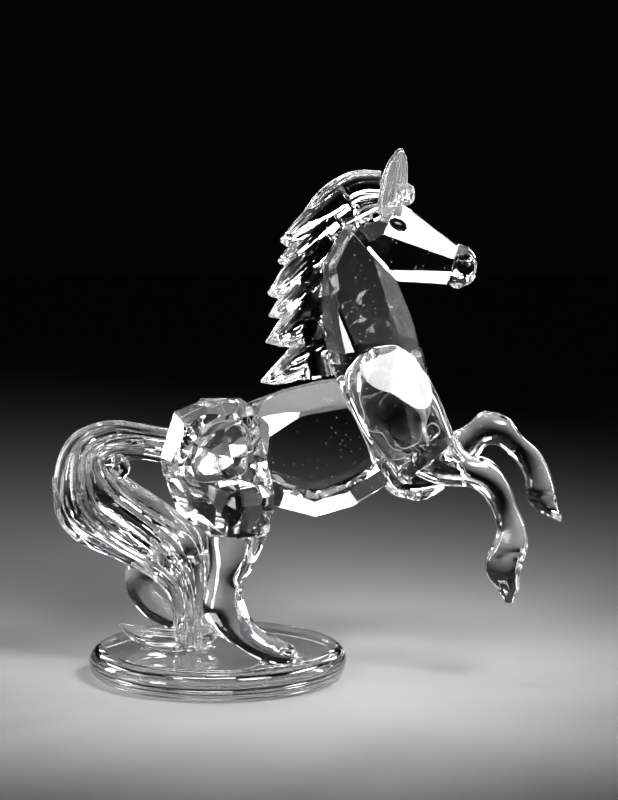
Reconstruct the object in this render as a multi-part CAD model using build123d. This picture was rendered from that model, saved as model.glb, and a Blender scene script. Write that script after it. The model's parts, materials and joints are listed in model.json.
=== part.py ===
"""Rearing horse figurine in cut and moulded crystal glass, cemented on a round base.

Side view: the horse faces +X, +Z is up, and the near side of the horse is -Y.
The origin is the centre of the base underside.  All sizes are in millimetres.
"""
import math
import os

from build123d import *

# Base disc
BASE_RADIUS = 30.0
BASE_THICKNESS = 7.0

# Flat side tables of the body stones, and the adhesive film between two pieces
TABLE = 10.0
FILM = 0.12

# Faceting of the body stones
GIRDLE = 2.6
CROWN_SLOPE = 33.0
STAR_SLOPE = 62.0
BARREL_STAR_INSET = 5.6
NECK_STAR_INSET = 6.5

# Haunch dome
HAUNCH_GIRDLE = 12.4
HAUNCH_TABLE = 18.4
HAUNCH_CROWN_SLOPE = 37.0
HAUNCH_STAR_SLOPE = 60.0
HAUNCH_STAR_INSET = 7.2
HAUNCH_PIVOT = (0.5, 53.0)
FAR_HAUNCH_TURN = 24.0
FAR_HAUNCH_DROP = 3.5

# Joint plane of the near hind leg, and of the near foreleg
HIND_JOINT_Z = 35.6
FORE_JOINT = (49.85, 53.8)
FORE_JOINT_LEAN = 43.0
FAR_FORE_JOINT_X = 52.6

# Ribs round the tail, and how far the valleys reach towards the full oval
TAIL_RIBS = 12
TAIL_VALLEY = 0.9

# Side-view outlines (x, z), clockwise
BARREL_OUTLINE = [
    (-7.0, 49.0), (-7.0, 57.8), (8.2, 63.9), (15.1, 66.5), (23.6, 68.6), (27.5, 69.0),
    (39.2, 45.3), (31.4, 40.3), (22.4, 37.6), (12.5, 40.4), (0.0, 45.0),
]
BARREL_PLAIN_EDGES = (0, 1, 5, 9, 10)
NECK_OUTLINE = [
    (27.5, 69.0), (25.9, 73.0), (24.3, 81.0), (23.4, 88.5), (24.0, 96.2), (27.0, 101.2), (29.5, 104.9),
    (40.9, 92.3), (44.2, 84.3), (48.0, 72.5), (50.3, 61.5), (50.3, 57.2), (42.0, 49.3), (37.23, 49.3),
]
NECK_PLAIN_EDGES = (6, 11, 12, 13)
HAUNCH_OUTLINE = [
    (-12.2, 49.5), (-12.6, 53.0), (-9.4, 63.3), (-2.3, 66.2), (5.4, 66.3), (8.2, 64.3),
    (10.6, 56.4), (13.1, 44.5), (13.1, 41.0), (11.9, HIND_JOINT_Z), (-2.5, HIND_JOINT_Z), (-8.0, 41.5),
]
HAUNCH_PLAIN_EDGES = (9,)
HEAD_OUTLINE = [
    (29.5, 104.9), (37.4, 109.0), (42.1, 109.0), (44.5, 107.8), (54.8, 100.0), (52.4, 91.4), (40.9, 92.3),
]

# Sides of the horse, as signs of y
NEAR_SIDE = (-1,)
BOTH_SIDES = (-1, 1)


def cosd(angle):
    """Cosine of an angle in degrees."""
    return math.cos(math.radians(angle))


def sind(angle):
    """Sine of an angle in degrees."""
    return math.sin(math.radians(angle))


def slab(outline, y_low, y_high):
    """Flat slab with a side-view outline, between two values of y."""
    face = make_face(Polyline([(x, y_low, z) for x, z in outline], close=True))
    return extrude(face, amount=y_high - y_low, dir=(0, 1, 0))


def grind(stone, point, normal):
    """Take off everything beyond the plane through point that faces normal."""
    return split(stone, bisect_by=Plane(origin=point, z_dir=normal), keep=Keep.BOTTOM)


def grind_both(stone, point, normal):
    """Grind the same facet on the near and on the far side."""
    x, y, z = point
    nx, ny, nz = normal
    stone = grind(stone, (x, -y, z), (nx, -ny, nz))
    return grind(stone, (x, y, z), (nx, ny, nz))


def edge_facing(outline, index):
    """Outward unit direction (x, z) of one edge of a clockwise outline."""
    x1, z1 = outline[index]
    x2, z2 = outline[(index + 1) % len(outline)]
    length = math.hypot(x2 - x1, z2 - z1)
    return -(z2 - z1) / length, (x2 - x1) / length


def edge_middle(outline, index):
    """Middle of one edge of an outline, on the middle plane of the horse."""
    x1, z1 = outline[index]
    x2, z2 = outline[(index + 1) % len(outline)]
    return (x1 + x2) / 2, 0, (z1 + z2) / 2


def facet_rings(stone, outline, plain, girdle, table, slope, sides, star_inset, star_slope):
    """Grind a ring of main facets on the edges and a ring of star facets on the corners."""
    count = len(outline)
    for side in sides:
        for k in range(count):
            if k in plain:
                continue
            ux, uz = edge_facing(outline, k)
            normal = (cosd(slope) * ux, side * sind(slope), cosd(slope) * uz)
            stone = grind(stone, (outline[k][0], side * girdle, outline[k][1]), normal)
            before = (k - 1) % count
            if before in plain:
                continue
            vx, vz = edge_facing(outline, before)
            length = math.hypot(ux + vx, uz + vz)
            wx, wz = (ux + vx) / length, (uz + vz) / length
            point = (outline[k][0] - star_inset * wx, side * table, outline[k][1] - star_inset * wz)
            normal = (cosd(star_slope) * wx, side * sind(star_slope), cosd(star_slope) * wz)
            stone = grind(stone, point, normal)
    return stone


def oval_plane(x, y, z, lean):
    """Plane of an oval section whose long axis leans away from +X in side view."""
    return Plane(origin=(x, y, z), x_dir=(cosd(lean), 0, sind(lean)), z_dir=(-sind(lean), 0, cosd(lean)))


def oval(x, y, z, half_width, half_depth, lean):
    """Oval face drawn as four quarter arcs."""
    quarters = []
    for start in (0.0, 90.0, 180.0, 270.0):
        quarters.append(EllipticalCenterArc((0, 0), half_width, half_depth, start_angle=start, arc_size=90.0))
    return oval_plane(x, y, z, lean) * make_face(quarters)


def spaced(stations, steps):
    """Fill in smooth extra stations between the given ones."""
    last = len(stations) - 1
    spans = [math.dist(stations[k][:3], stations[k + 1][:3]) for k in range(last)]
    rates = []
    for k in range(last):
        rates.append([(q - p) / spans[k] for p, q in zip(stations[k], stations[k + 1])])
    slopes = [rates[0]]
    for k in range(1, last):
        total = spans[k - 1] + spans[k]
        slopes.append([(r * spans[k] + q * spans[k - 1]) / total for r, q in zip(rates[k - 1], rates[k])])
    slopes.append(rates[-1])
    filled = []
    for k in range(last):
        for step in range(steps):
            t = step / steps
            start, leave = 2 * t ** 3 - 3 * t ** 2 + 1, (t ** 3 - 2 * t ** 2 + t) * spans[k]
            end, arrive = 3 * t ** 2 - 2 * t ** 3, (t ** 3 - t ** 2) * spans[k]
            rows = zip(stations[k], slopes[k], stations[k + 1], slopes[k + 1])
            filled.append([start * p + leave * m + end * q + arrive * n for p, m, q, n in rows])
    filled.append(list(stations[-1]))
    return filled


def limb(stations):
    """Smooth body through oval sections (x, y, z, half width, half depth, lean)."""
    return loft([oval(*station) for station in spaced(stations, 3)])


def ribbed_oval(x, y, z, half_width, half_depth, lean):
    """Oval face whose rim is scalloped into ribs."""
    step = 360.0 / TAIL_RIBS
    rim = []
    for k in range(TAIL_RIBS):
        corners = []
        for turn, reach in ((k - 0.5, TAIL_VALLEY), (k, 1.0), (k + 0.5, TAIL_VALLEY)):
            corners.append((half_width * reach * cosd(step * turn), half_depth * reach * sind(step * turn)))
        rim.append(ThreePointArc(*corners))
    return oval_plane(x, y, z, lean) * make_face(rim)


def other_side(body):
    """Mirror a near-side body to the far side."""
    return mirror(body, about=Plane.XZ)


# ---------------------------------------------------------------- base
RIM_RADIUS = BASE_THICKNESS / 2
rim_low = (BASE_RADIUS - RIM_RADIUS, 0, 0)
rim_high = (BASE_RADIUS - RIM_RADIUS, 0, BASE_THICKNESS)
base_profile = make_face(
    Line((0, 0, 0), rim_low)
    + ThreePointArc(rim_low, (BASE_RADIUS, 0, RIM_RADIUS), rim_high)
    + Line(rim_high, (0, 0, BASE_THICKNESS))
    + Line((0, 0, BASE_THICKNESS), (0, 0, 0))
)
base = revolve(base_profile, axis=Axis.Z)

# ---------------------------------------------------------------- cut stones
barrel = slab(BARREL_OUTLINE, -TABLE, TABLE)
barrel = facet_rings(
    barrel, BARREL_OUTLINE, BARREL_PLAIN_EDGES, GIRDLE, TABLE, CROWN_SLOPE, BOTH_SIDES,
    BARREL_STAR_INSET, STAR_SLOPE,
)
barrel = grind_both(barrel, (12.5, TABLE, 57.6), (-0.30, 0.85, 0.45))

neck = slab(NECK_OUTLINE, -TABLE, TABLE)
neck = facet_rings(
    neck, NECK_OUTLINE, NECK_PLAIN_EDGES, GIRDLE, TABLE, CROWN_SLOPE, BOTH_SIDES,
    NECK_STAR_INSET, STAR_SLOPE,
)
neck = grind_both(neck, (40.0, TABLE, 76.0), (0, cosd(8.0), sind(8.0)))

# The neck face that meets the barrel stands one film off it.
joint_x, joint_z = edge_facing(BARREL_OUTLINE, 5)
neck = grind(neck, (27.5 + FILM * joint_x, 0, 69.0 + FILM * joint_z), (-joint_x, 0, -joint_z))

near_haunch = slab(HAUNCH_OUTLINE, -HAUNCH_TABLE, -TABLE - FILM)
near_haunch = facet_rings(
    near_haunch, HAUNCH_OUTLINE, HAUNCH_PLAIN_EDGES, HAUNCH_GIRDLE, HAUNCH_TABLE,
    HAUNCH_CROWN_SLOPE, NEAR_SIDE, HAUNCH_STAR_INSET, HAUNCH_STAR_SLOPE,
)
haunch_axis = Axis((HAUNCH_PIVOT[0], 0, HAUNCH_PIVOT[1]), (0, 1, 0))
far_haunch = Pos(0, 0, -FAR_HAUNCH_DROP) * other_side(near_haunch).rotate(haunch_axis, FAR_HAUNCH_TURN)

head = slab(HEAD_OUTLINE, -7.0, 7.0)
EYE_FACET = (0.27, 0.89, 0.36)
EYE_FACET_POINT = (44.5, 2.8, 107.8)
head = grind_both(head, EYE_FACET_POINT, EYE_FACET)
head = grind_both(head, (53.5, 4.3, 97.4), (0.13, 0.989, -0.066))
head = grind_both(head, (52.0, 2.8, 91.4), (0.106, 0.896, -0.432))
head = grind_both(head, (38.4, 3.0, 108.9), (-0.215, 0.81, 0.545))
neck_face = edge_facing(NECK_OUTLINE, 6)
head_joint = (29.5 + FILM * neck_face[0], 0, 104.9 + FILM * neck_face[1])
head = grind(head, head_joint, (-neck_face[0], 0, -neck_face[1]))

# ---------------------------------------------------------------- shoulders
near_shoulder = limb([
    (34.0, -12.0, 77.1, 2.0, 1.6, 29.0), (34.7, -12.0, 75.9, 5.4, 3.6, 29.0),
    (36.1, -12.0, 73.3, 8.0, 5.2, 29.0),
    (38.8, -12.0, 68.4, 9.3, 6.1, 29.0), (42.2, -12.0, 62.3, 9.4, 6.3, 29.0),
    (45.1, -12.0, 57.1, 8.6, 6.0, 29.0),
    (48.9, -12.0, 50.3, 7.4, 5.2, 29.0),
])
near_shoulder = grind(near_shoulder, (0, -TABLE - FILM, 0), (0, 1, 0))
near_shoulder = grind(
    near_shoulder, (FORE_JOINT[0], 0, FORE_JOINT[1]), (sind(FORE_JOINT_LEAN), 0, -cosd(FORE_JOINT_LEAN))
)
near_shoulder = grind(near_shoulder, (38.2, -17.8, 69.2), (0.10, -0.86, 0.50))
near_shoulder = grind(near_shoulder, (38.6, -17.8, 69.4), (0.31, -0.84, 0.45))
near_shoulder = grind(near_shoulder, (42.0, -17.8, 64.0), (0.0, -1.0, -0.04))

far_shoulder = limb([
    (38.6, 12.0, 72.6, 2.0, 1.6, 14.0), (38.9, 12.0, 71.4, 5.0, 3.6, 14.0),
    (39.6, 12.0, 68.7, 7.2, 5.2, 14.0),
    (41.0, 12.0, 63.8, 8.6, 6.1, 14.0), (42.8, 12.0, 57.5, 9.2, 6.3, 14.0),
    (44.7, 12.0, 50.5, 9.2, 6.2, 12.0),
    (46.2, 12.0, 44.5, 8.2, 5.4, 10.0), (47.0, 12.0, 40.8, 5.6, 3.8, 8.0),
    (47.3, 12.0, 39.2, 2.0, 1.6, 8.0),
])
far_shoulder = grind(far_shoulder, (0, TABLE + FILM, 0), (0, -1, 0))
far_shoulder = grind(far_shoulder, (FAR_FORE_JOINT_X, 0, 0), (1, 0, 0))

# ---------------------------------------------------------------- legs
near_hind_leg = limb([
    (4.7, -14.0, HIND_JOINT_Z - FILM, 7.0, 3.7, 0.0), (3.6, -14.3, 29.0, 5.5, 4.0, 3.0),
    (1.9, -14.8, 23.5, 4.3, 3.7, 3.0), (1.7, -15.4, 19.5, 4.9, 3.8, 12.0),
    (3.6, -16.0, 15.9, 4.3, 3.5, 35.0),
    (6.9, -16.6, 12.7, 3.4, 3.2, 46.0), (10.6, -17.1, 10.4, 3.2, 3.2, 58.0),
    (14.0, -17.5, 9.0, 3.2, 3.6, 72.0),
    (17.2, -17.7, 8.3, 2.5, 3.4, 82.0), (19.2, -17.8, 7.9, 0.9, 1.6, 88.0),
])
near_hind_leg = grind(near_hind_leg, (0, 0, BASE_THICKNESS + FILM), (0, 0, -1))

turn_x, turn_z = 4.7 - HAUNCH_PIVOT[0], HIND_JOINT_Z - FILM - HAUNCH_PIVOT[1]
far_joint = (
    HAUNCH_PIVOT[0] + turn_x * cosd(FAR_HAUNCH_TURN) + turn_z * sind(FAR_HAUNCH_TURN),
    HAUNCH_PIVOT[1] - turn_x * sind(FAR_HAUNCH_TURN) + turn_z * cosd(FAR_HAUNCH_TURN) - FAR_HAUNCH_DROP,
)
far_hind_leg = limb([
    (far_joint[0], 14.0, far_joint[1], 7.0, 3.7, -FAR_HAUNCH_TURN), (-8.6, 14.2, 28.6, 6.0, 4.0, -34.0),
    (-15.2, 14.6, 25.6, 4.6, 3.6, -34.0), (-18.8, 15.0, 21.2, 3.6, 3.4, -10.0),
    (-18.6, 15.3, 16.6, 3.2, 3.2, 12.0),
    (-15.9, 15.7, 13.0, 3.2, 3.1, 40.0), (-12.0, 16.0, 10.6, 3.0, 3.1, 56.0),
    (-8.6, 16.2, 9.1, 3.0, 3.5, 70.0),
    (-5.4, 16.3, 8.3, 2.4, 3.3, 82.0), (-3.5, 16.3, 7.9, 0.9, 1.5, 88.0),
])
far_hind_leg = grind(far_hind_leg, (0, 0, BASE_THICKNESS + FILM), (0, 0, -1))

fore_x = FORE_JOINT[0] + FILM * sind(FORE_JOINT_LEAN)
fore_z = FORE_JOINT[1] - FILM * cosd(FORE_JOINT_LEAN)
near_foreleg = limb([
    (fore_x, -13.2, fore_z, 6.7, 2.9, FORE_JOINT_LEAN), (53.2, -13.0, 51.4, 5.2, 3.2, 62.0),
    (56.8, -12.8, 50.2, 3.8, 3.2, 86.0), (61.0, -12.4, 48.6, 4.0, 3.2, 73.0),
    (64.1, -12.0, 44.8, 3.5, 2.9, 53.0),
    (65.8, -11.8, 40.2, 2.9, 2.6, 35.0), (67.0, -11.6, 36.3, 3.3, 2.5, 8.0),
    (66.7, -11.4, 32.6, 4.1, 2.8, -1.0),
    (65.4, -11.2, 28.6, 4.4, 3.0, -3.0), (65.3, -11.1, 25.4, 3.8, 2.7, -4.0),
    (66.4, -11.0, 22.2, 2.5, 2.0, -3.0),
    (66.7, -11.0, 19.2, 0.9, 0.8, 0.0),
])

far_foreleg = limb([
    (FAR_FORE_JOINT_X + FILM, 13.2, 49.0, 5.2, 2.9, 90.0), (58.8, 12.8, 52.6, 4.1, 3.2, 108.0),
    (62.4, 12.4, 55.8, 4.1, 3.2, 92.0), (66.1, 12.0, 55.3, 3.6, 3.0, 70.0),
    (69.2, 11.7, 52.2, 2.7, 2.5, 50.0),
    (72.6, 11.4, 48.8, 2.9, 2.4, 28.0), (74.4, 11.2, 45.3, 3.1, 2.4, 5.0),
    (75.2, 11.1, 41.5, 3.4, 2.7, 0.0),
    (75.8, 11.0, 38.5, 3.5, 2.9, -6.0), (77.4, 11.0, 36.0, 3.0, 2.5, -15.0),
    (78.9, 11.0, 34.6, 1.3, 1.1, -25.0),
])

# ---------------------------------------------------------------- tail
tail_stations = [
    (-7.0 - FILM, 0.0, 53.4, 4.2, 3.6, 90.0), (-12.0, 0.0, 53.7, 4.2, 3.6, 88.0),
    (-18.0, 0.0, 54.6, 4.3, 3.8, 84.0),
    (-24.2, 0.0, 54.6, 5.2, 4.2, 104.0), (-28.8, -0.2, 52.0, 6.5, 4.6, 142.0),
    (-29.2, -0.5, 47.0, 8.5, 5.0, 176.0),
    (-27.6, -0.8, 41.8, 10.3, 5.2, 195.0), (-22.9, -1.2, 37.2, 11.1, 5.2, 201.0),
    (-17.5, -1.6, 33.4, 10.5, 5.0, 204.0),
    (-12.5, -2.0, 30.0, 9.2, 4.6, 206.0), (-9.0, -2.4, 26.0, 6.9, 4.2, 205.0),
    (-7.2, -2.8, 21.4, 5.0, 3.8, 199.0),
    (-6.7, -3.1, 16.3, 3.7, 3.4, 191.0), (-6.6, -3.4, 12.2, 3.8, 3.5, 185.0),
    (-6.6, -3.5, BASE_THICKNESS + FILM, 4.4, 3.8, 180.0),
]
tail_body = loft([ribbed_oval(*station) for station in spaced(tail_stations, 3)])
tail_foot = limb([
    (-22.6, -3.5, 12.5, 0.4, 0.4, 60.0), (-20.0, -3.5, 10.9, 1.6, 1.5, 65.0),
    (-15.9, -3.5, 9.4, 2.4, 2.6, 78.0),
    (-10.5, -3.5, 9.0, 2.1, 3.0, 90.0), (-5.0, -3.5, 9.4, 2.4, 3.0, 95.0),
    (-1.2, -3.5, 10.6, 1.9, 2.0, 112.0),
    (0.3, -3.5, 11.4, 0.5, 0.5, 125.0),
])
tail = tail_body + tail_foot
tail = grind(tail, (0, 0, BASE_THICKNESS + FILM), (0, 0, -1))

# ---------------------------------------------------------------- muzzle, ears, forelock, eyes
muzzle_face = edge_facing(HEAD_OUTLINE, 4)
MUZZLE_CENTRE = (54.7, 0.0, 95.7)
muzzle = Pos(*MUZZLE_CENTRE) * Sphere(4.7) + Pos(54.9, 0.0, 92.6) * Sphere(2.5)
muzzle = grind_both(muzzle, (56.6, 3.4, 95.6), (0.35, 0.93, 0.0))
muzzle_joint = (54.8 + FILM * muzzle_face[0], 0, 100.0 + FILM * muzzle_face[1])
muzzle = grind(muzzle, muzzle_joint, (-muzzle_face[0], 0, -muzzle_face[1]))

near_ear = limb([
    (39.4, -3.4, 106.6, 2.5, 1.4, 0.0), (39.6, -3.5, 109.5, 3.0, 1.6, 0.0),
    (40.2, -3.8, 113.0, 3.1, 1.6, 2.0),
    (40.9, -4.2, 117.0, 2.6, 1.4, 4.0), (41.5, -4.5, 120.0, 1.7, 1.0, 6.0),
    (41.9, -4.6, 121.9, 0.6, 0.45, 6.0),
]) - head
far_ear = other_side(near_ear)

forelock = Pos(42.5, 0, 111.6) * Sphere(2.9) - head - near_ear - far_ear

EYE_CENTRE = (41.3, 105.2)
EYE_LEAN = -22.0
eye_shift = (EYE_CENTRE[0] - EYE_FACET_POINT[0], EYE_CENTRE[1] - EYE_FACET_POINT[2])
eye_depth = EYE_FACET_POINT[1] - (EYE_FACET[0] * eye_shift[0] + EYE_FACET[2] * eye_shift[1]) / EYE_FACET[1]
eye_slope = (EYE_FACET[0] * cosd(EYE_LEAN) + EYE_FACET[2] * sind(EYE_LEAN)) / EYE_FACET[1]
eye_plane = Plane(
    origin=(EYE_CENTRE[0], -eye_depth, EYE_CENTRE[1]),
    x_dir=(cosd(EYE_LEAN), eye_slope, sind(EYE_LEAN)),
    z_dir=(EYE_FACET[0], -EYE_FACET[1], EYE_FACET[2]),
)
near_eye = eye_plane * fillet(extrude(Ellipse(2.2, 1.35), amount=0.7).edges().group_by(Axis.Z)[-1], 0.5)
far_eye = other_side(near_eye)

# ---------------------------------------------------------------- mane
MANE_HALF = 3.6

# Each lock: root, half width there, point on its upper edge, tip, point on its lower edge
LOCKS = [
    ((30.0, 110.5), 5.0, (18.2, 106.0), (14.4, 101.3), (16.5, 99.3)),
    ((27.5, 106.5), 4.2, (16.2, 99.5), (13.8, 96.5), (15.9, 95.2)),
    ((26.5, 101.5), 4.6, (15.0, 95.0), (11.5, 88.9), (14.3, 87.8)),
    ((25.5, 95.5), 4.4, (13.9, 87.8), (11.7, 83.8), (14.8, 83.2)),
    ((25.0, 90.5), 4.8, (14.2, 83.0), (10.9, 77.7), (16.4, 76.5)),
    ((25.5, 79.5), 5.4, (15.8, 75.7), (9.7, 68.6), (13.2, 67.7)),
]
LOCK_STEPS = (0.0, 0.2, 0.4, 0.58, 0.74, 0.86, 0.94, 0.985)
UPPER_SHARE = 0.7
LOWER_SHARE = 0.75


def edge_point(start, through, end, share, t):
    """Point at t on the quadratic curve that passes through a point at the given share of its run."""
    point = []
    for p, q, r in zip(start, through, end):
        control = (q - (1 - share) ** 2 * p - share ** 2 * r) / (2 * share * (1 - share))
        point.append((1 - t) ** 2 * p + 2 * t * (1 - t) * control + t ** 2 * r)
    return point


def lock_stations(root, half, upper_point, tip, lower_point):
    """Stations of one lock of hair between its upper and lower edge curves."""
    run_x, run_z = tip[0] - root[0], tip[1] - root[1]
    side_x, side_z = run_z / math.hypot(run_x, run_z), -run_x / math.hypot(run_x, run_z)
    upper_root = (root[0] + half * side_x, root[1] + half * side_z)
    lower_root = (root[0] - half * side_x, root[1] - half * side_z)
    stations = []
    for t in LOCK_STEPS:
        high = edge_point(upper_root, upper_point, tip, UPPER_SHARE, t)
        low = edge_point(lower_root, lower_point, tip, LOWER_SHARE, t)
        spread_x, spread_z = high[0] - low[0], high[1] - low[1]
        width = math.hypot(spread_x, spread_z) / 2
        depth = 0.35 + (MANE_HALF - 0.35) * min(1.0, width / 3.4)
        lean = math.degrees(math.atan2(spread_z, spread_x))
        stations.append(((high[0] + low[0]) / 2, 0.0, (high[1] + low[1]) / 2, width, depth, lean))
    return stations


crest = limb([
    (37.4, 0.0, 112.9, 4.2, MANE_HALF, 90.0), (32.6, 0.0, 112.5, 4.9, MANE_HALF, 99.0),
    (27.0, 0.0, 108.5, 5.6, MANE_HALF, 120.0), (22.9, 0.0, 102.4, 5.2, MANE_HALF, 150.0),
    (21.0, 0.0, 95.5, 4.6, MANE_HALF, 170.0), (20.6, 0.0, 87.0, 4.3, MANE_HALF, 180.0),
    (21.6, 0.0, 78.0, 4.2, MANE_HALF, 188.0), (23.0, 0.0, 69.8, 4.4, MANE_HALF, 188.0),
])
mane = crest
for lock in LOCKS:
    mane = mane + limb(lock_stations(*lock))
mane = mane - neck - head - barrel - near_ear - far_ear

# ---------------------------------------------------------------- adhesive


def film(origin, x_dir, z_dir, shape):
    """Thin film of adhesive, one FILM thick, standing on a joint face."""
    return Plane(origin=origin, x_dir=x_dir, z_dir=z_dir) * extrude(shape, amount=FILM)


near_haunch_film = film((0.6, -TABLE, 53.2), (1, 0, 0), (0, -1, 0), Circle(7.5))
near_shoulder_film = film((40.5, -TABLE, 64.0), (0.485, 0, -0.875), (0, -1, 0), Ellipse(9.5, 7.0))
far_shoulder_film = film((41.6, TABLE, 60.0), (0.25, 0, -0.97), (0, 1, 0), Ellipse(8.5, 6.6))
near_hind_film = film((4.7, -14.0, HIND_JOINT_Z), (1, 0, 0), (0, 0, -1), Ellipse(6.4, 3.1))
far_hind_film = Pos(0, 0, -FAR_HAUNCH_DROP) * other_side(near_hind_film).rotate(haunch_axis, FAR_HAUNCH_TURN)
near_fore_film = film(
    (FORE_JOINT[0], -13.2, FORE_JOINT[1]), (cosd(FORE_JOINT_LEAN), 0, sind(FORE_JOINT_LEAN)),
    (sind(FORE_JOINT_LEAN), 0, -cosd(FORE_JOINT_LEAN)), Ellipse(5.6, 2.3),
)
far_fore_film = film((FAR_FORE_JOINT_X, 13.2, 49.0), (0, 0, 1), (1, 0, 0), Ellipse(4.4, 2.3))
neck_film = film(edge_middle(BARREL_OUTLINE, 5), (0, 1, 0), (joint_x, 0, joint_z), Ellipse(7.4, 8.6))
head_film = film(edge_middle(NECK_OUTLINE, 6), (0, 1, 0), (neck_face[0], 0, neck_face[1]), Ellipse(3.6, 5.6))
muzzle_film = film(edge_middle(HEAD_OUTLINE, 4), (0, 1, 0), (muzzle_face[0], 0, muzzle_face[1]), Circle(3.0))
tail_film = film((-7.0, 0, 53.4), (0, 1, 0), (-1, 0, 0), Ellipse(3.0, 3.6))
near_hoof_bead = film((15.0, -17.7, BASE_THICKNESS), (1, 0, 0), (0, 0, 1), Ellipse(4.9, 4.4))
far_hoof_bead = film((-6.8, 16.3, BASE_THICKNESS), (1, 0, 0), (0, 0, 1), Ellipse(4.8, 4.3))
tail_foot_bead = film((-9.3, -3.5, BASE_THICKNESS), (1, 0, 0), (0, 0, 1), Ellipse(6.6, 4.6))

pieces = {
    "base": base, "barrel": barrel, "neck": neck, "head": head, "muzzle": muzzle,
    "near_haunch": near_haunch, "far_haunch": far_haunch,
    "near_shoulder": near_shoulder, "far_shoulder": far_shoulder,
    "near_hind_leg": near_hind_leg, "far_hind_leg": far_hind_leg,
    "near_foreleg": near_foreleg, "far_foreleg": far_foreleg,
    "tail": tail, "mane": mane, "near_ear": near_ear, "far_ear": far_ear, "forelock": forelock,
    "near_eye": near_eye, "far_eye": far_eye,
    "near_haunch_film": near_haunch_film, "far_haunch_film": other_side(near_haunch_film),
    "near_shoulder_film": near_shoulder_film, "far_shoulder_film": far_shoulder_film,
    "near_hind_film": near_hind_film, "far_hind_film": far_hind_film,
    "near_fore_film": near_fore_film, "far_fore_film": far_fore_film,
    "neck_film": neck_film, "head_film": head_film, "muzzle_film": muzzle_film, "tail_film": tail_film,
    "near_hoof_bead": near_hoof_bead, "far_hoof_bead": far_hoof_bead, "tail_foot_bead": tail_foot_bead,
}

os.makedirs("parts", exist_ok=True)
for name, body in pieces.items():
    export_step(body, "parts/" + name + ".step")
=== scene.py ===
"""Looks of the crystal horse figurine: glass, adhesive, camera, floor and studio light."""

import json
import math
import random

import bmesh
import bpy
import numpy as np
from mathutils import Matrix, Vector


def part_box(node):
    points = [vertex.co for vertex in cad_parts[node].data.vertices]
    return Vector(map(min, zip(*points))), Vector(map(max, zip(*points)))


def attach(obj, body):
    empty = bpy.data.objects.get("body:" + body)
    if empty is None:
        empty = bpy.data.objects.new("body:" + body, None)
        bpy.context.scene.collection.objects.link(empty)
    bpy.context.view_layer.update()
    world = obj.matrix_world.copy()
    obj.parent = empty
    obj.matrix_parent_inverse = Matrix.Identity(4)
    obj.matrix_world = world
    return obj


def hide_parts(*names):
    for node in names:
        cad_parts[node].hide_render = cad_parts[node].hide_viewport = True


MM = 0.001

# Sizes shared with the CAD parts, in mm: radius, height and rim radius of the base, half width of the body
# stones, thickness of a film of adhesive, and the level of the feet on it
BASE_RADIUS = 30.0
BASE_TOP = 7.0
RIM = 3.5
TABLE = 10.0
FILM = 0.12
FOOT_LEVEL = 7.14

# Lowest and highest face of a pad of adhesive inside its joint, in mm
PAD_LOW = 0.02
PAD_HIGH = 0.10

# Gap between a rebuilt piece and the stone it is cut by, in mm
CUT_GAP = 0.1
# Angle between faces that counts as a sharp edge, and the angle below which they count as one face
SHARP = math.radians(35.0)
FLAT = math.radians(0.5)
# Vertices closer than this are one vertex after a cut, in metres
WELD = 2e-6

IOR = 1.54

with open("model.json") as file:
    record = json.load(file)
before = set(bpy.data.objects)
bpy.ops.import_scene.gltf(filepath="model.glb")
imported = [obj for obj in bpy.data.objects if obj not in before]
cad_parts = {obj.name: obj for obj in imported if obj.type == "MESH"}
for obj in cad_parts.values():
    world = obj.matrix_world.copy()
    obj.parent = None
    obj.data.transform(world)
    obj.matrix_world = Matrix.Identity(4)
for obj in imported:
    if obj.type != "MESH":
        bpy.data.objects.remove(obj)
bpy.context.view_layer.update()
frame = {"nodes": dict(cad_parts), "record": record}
nodes = frame["nodes"]


# ------------------------------------------------------------------ materials
def new_material(name):
    """Empty node material: its node tree and its Principled shader."""
    material = bpy.data.materials.new(name)
    material.use_nodes = True
    tree = material.node_tree
    shader = next(n for n in tree.nodes if n.type == "BSDF_PRINCIPLED")
    return material, tree, shader


def ramp(tree, source, low, high, low_value, high_value):
    """Map a factor from low..high to low_value..high_value."""
    node = tree.nodes.new("ShaderNodeMapRange")
    node.inputs["From Min"].default_value = low
    node.inputs["From Max"].default_value = high
    node.inputs["To Min"].default_value = low_value
    node.inputs["To Max"].default_value = high_value
    tree.links.new(source, node.inputs["Value"])
    return node.outputs["Result"]


def noise(tree, scale, detail):
    """Noise over the object, whose scale is per metre."""
    coords = tree.nodes.new("ShaderNodeTexCoord")
    node = tree.nodes.new("ShaderNodeTexNoise")
    node.inputs["Scale"].default_value = scale
    node.inputs["Detail"].default_value = detail
    tree.links.new(coords.outputs["Object"], node.inputs["Vector"])
    return node.outputs["Fac"]


def bump(tree, shader, height, distance):
    """Bump of the given depth in metres."""
    node = tree.nodes.new("ShaderNodeBump")
    node.inputs["Distance"].default_value = distance
    node.inputs["Strength"].default_value = 1.0
    tree.links.new(height, node.inputs["Height"])
    tree.links.new(node.outputs["Normal"], shader.inputs["Normal"])


# Smudges on the glass, and specks of dust on it (metres)
SMUDGE_SCALE = 260.0
SMUDGE_EDGE = (0.45, 0.75)
DUST_SPACING = 0.0011
DUST_RADIUS = 0.00013
DUST_ROUGHNESS = 0.9


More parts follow.
